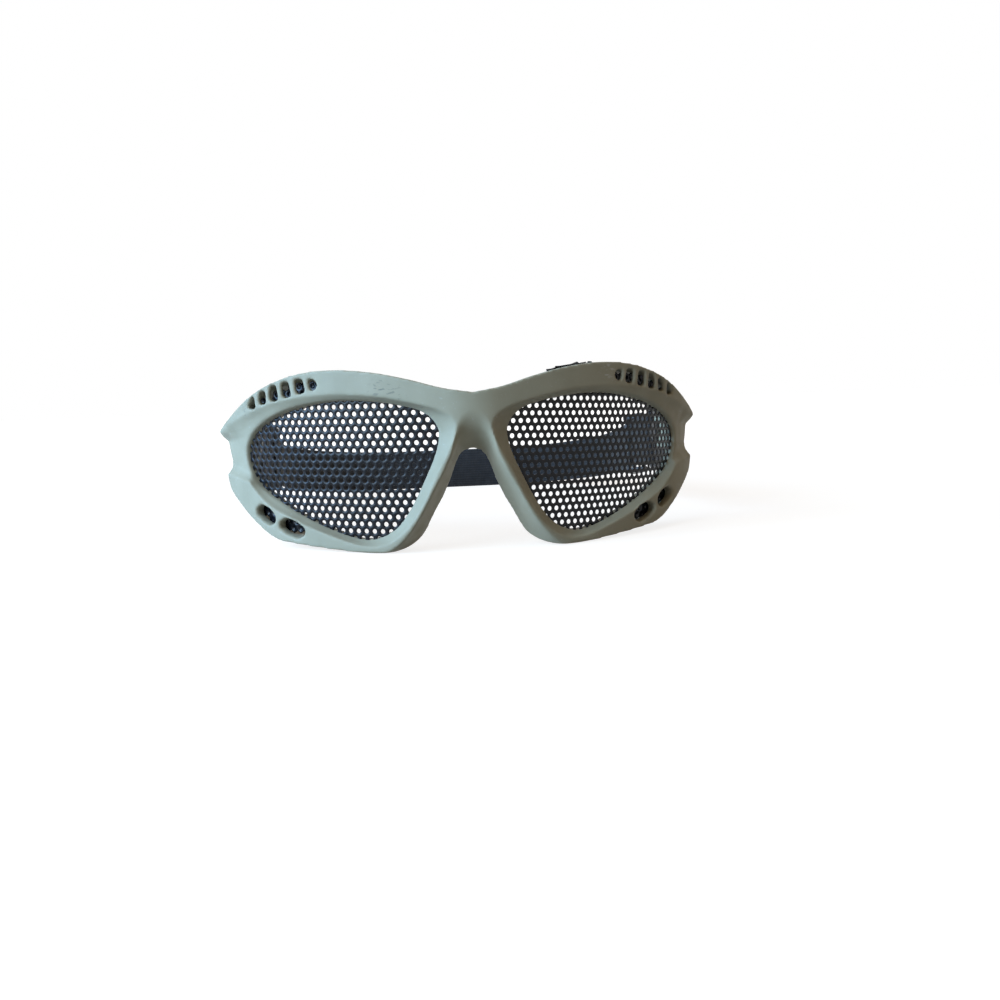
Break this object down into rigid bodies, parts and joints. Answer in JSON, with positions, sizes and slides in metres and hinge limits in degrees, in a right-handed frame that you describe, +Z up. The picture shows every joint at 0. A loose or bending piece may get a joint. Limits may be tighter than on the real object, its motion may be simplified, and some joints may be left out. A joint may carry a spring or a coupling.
{
  "type": "mesh safety goggles",
  "caption": "Wraparound safety goggles: a soft one-piece frame with perforated steel mesh lenses and an elastic head strap on pivoting side clips, with length sliders.",
  "frame": {"origin": "centre of the bounding box at the surface that the goggles lie on", "axes": "+Z up, the goggles look along -Y, +X towards the wearer's left"},
  "size_m": [0.175, 0.2072, 0.0591],
  "materials": {
    "frame_rubber": "matte",
    "lens_steel": "semi-gloss black coating",
    "black_plastic": "matte",
    "strap_webbing": "woven elastic"
  },
  "bodies": {
    "goggles": {"frame": "frame_rubber", "left_lens": "lens_steel", "right_lens": "lens_steel", "left_stud": "black_plastic", "right_stud": "black_plastic", "left_stud_cap": "black_plastic", "right_stud_cap": "black_plastic"},
    "strap": {"strap_band": "strap_webbing", "left_strap_clip": "black_plastic", "right_strap_clip": "black_plastic", "left_strap_tail": "strap_webbing", "right_strap_tail": "strap_webbing"},
    "left_slider": {"left_strap_slider": "black_plastic"},
    "right_slider": {"right_strap_slider": "black_plastic"}
  },
  "joints": [
    {"name": "strap_tilt", "type": "hinge", "parent": "goggles", "child": "strap", "pos_m": [0, -0.03514, 0.0328], "axis": [1, 0, 0], "range_deg": [-20, 35]},
    {"name": "left_slider_travel", "type": "slide", "parent": "strap", "child": "left_slider", "axis": [0, 0.9863, -0.165], "range_m": [-0.007, 0.024], "deforming": ["left_strap_tail"]},
    {"name": "right_slider_travel", "type": "slide", "parent": "strap", "child": "right_slider", "axis": [0, 0.9863, -0.165], "range_m": [-0.007, 0.024], "deforming": ["right_strap_tail"]}
  ]
}
